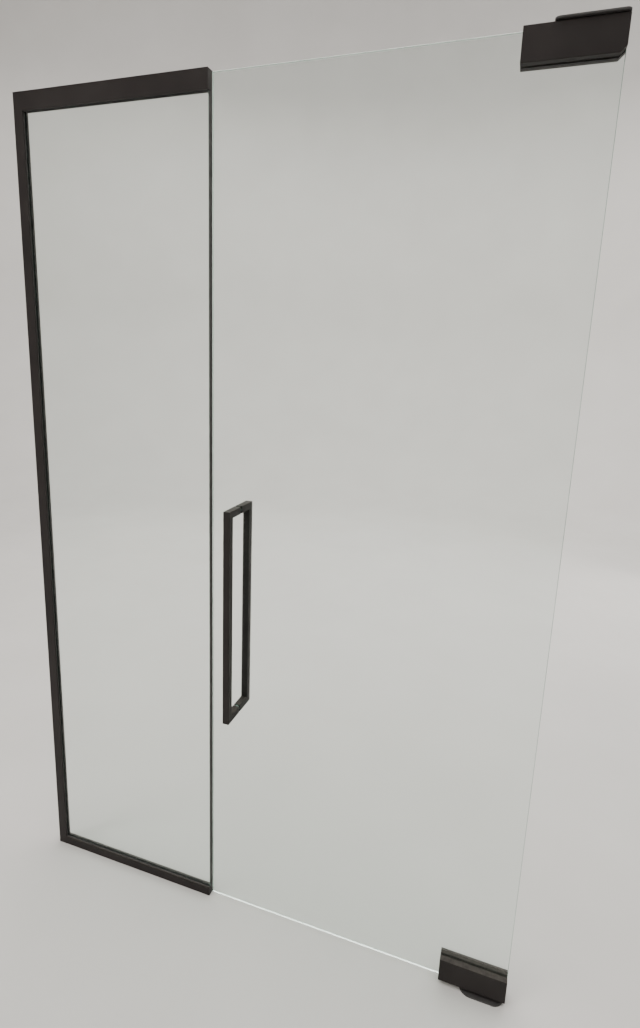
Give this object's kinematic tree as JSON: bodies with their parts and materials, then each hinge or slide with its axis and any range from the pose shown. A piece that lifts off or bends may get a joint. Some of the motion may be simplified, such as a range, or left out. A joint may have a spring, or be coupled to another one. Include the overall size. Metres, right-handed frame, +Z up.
{
  "type": "glass entrance door",
  "caption": "Frameless glass entrance: fixed sidelight in slim channels beside a glass leaf that swings both ways on patch fitting pivots, with a square pull handle on each face.",
  "frame": {"origin": "on the finished floor, midway along the entrance from the jamb channel's wall face to the leaf's wall edge, in the middle plane of the glass", "axes": "+X along the glass towards the leaf's pivot side, +Y through the glass away from the viewer of the picture, +Z up"},
  "size_m": [1.545, 0.145, 2.438],
  "materials": {
    "black_anodised": "black anodised, fine satin",
    "black_steel": "black powder coat, satin",
    "clear_glass": "clear toughened, polished edges with a green tint",
    "black_rubber": "matte extruded",
    "block_rubber": "matte moulded",
    "bright_steel": "turned and brushed",
    "cast_alloy": "die cast, blasted",
    "bearing_bronze": "sintered, oiled",
    "valve_brass": "turned",
    "clamp_fibre": "pressed fibre sheet, matte",
    "sleeve_nylon": "natural nylon",
    "washer_plastic": "matte black"
  },
  "bodies": {
    "fixed_side": {"header_channel": "black_anodised", "jamb_channel": "black_anodised", "sill_channel": "black_anodised", "header_end_cap": "black_anodised", "sill_end_cap": "black_anodised", "sidelight_glass": "clear_glass", "header_gasket_front": "black_rubber", "header_gasket_back": "black_rubber", "jamb_gasket_front": "black_rubber", "jamb_gasket_back": "black_rubber", "sill_gasket_front": "black_rubber", "sill_gasket_back": "black_rubber", "setting_blocks": "block_rubber", "jamb_edge_blocks": "block_rubber", "sidelight_edge_seal": "black_rubber", "ceiling_plate": "black_steel", "top_pivot_pin": "bright_steel", "floor_plate": "black_steel", "floor_spindle": "bright_steel"},
    "leaf": {"door_glass": "clear_glass", "closer_body": "cast_alloy", "closer_end_plug": "bright_steel", "speed_valves": "valve_brass", "spindle_bearing": "bearing_bronze", "top_pivot_bush": "bearing_bronze", "top_patch_body": "cast_alloy", "bottom_patch_bolts": "bright_steel", "top_patch_bolts": "bright_steel", "handle_front": "black_anodised", "handle_back": "black_anodised", "handle_studs": "bright_steel", "handle_sleeves": "sleeve_nylon", "handle_washers": "washer_plastic", "handle_set_screws": "bright_steel", "bottom_cover_front": "black_anodised", "bottom_cheek_front": "cast_alloy", "bottom_gasket_front": "clamp_fibre", "bottom_cover_back": "black_anodised", "bottom_cheek_back": "cast_alloy", "bottom_gasket_back": "clamp_fibre", "top_cover_front": "black_anodised", "top_cheek_front": "cast_alloy", "top_gasket_front": "clamp_fibre", "top_cover_back": "black_anodised", "top_cheek_back": "cast_alloy", "top_gasket_back": "clamp_fibre"}
  },
  "joints": [
    {"name": "leaf_pivot", "type": "hinge", "parent": "fixed_side", "child": "leaf", "pos_m": [0.7075, 0, 0.0149], "axis": [0, 0, 1], "range_deg": [-90, 90], "stiffness_Nm_per_rad": 9}
  ]
}
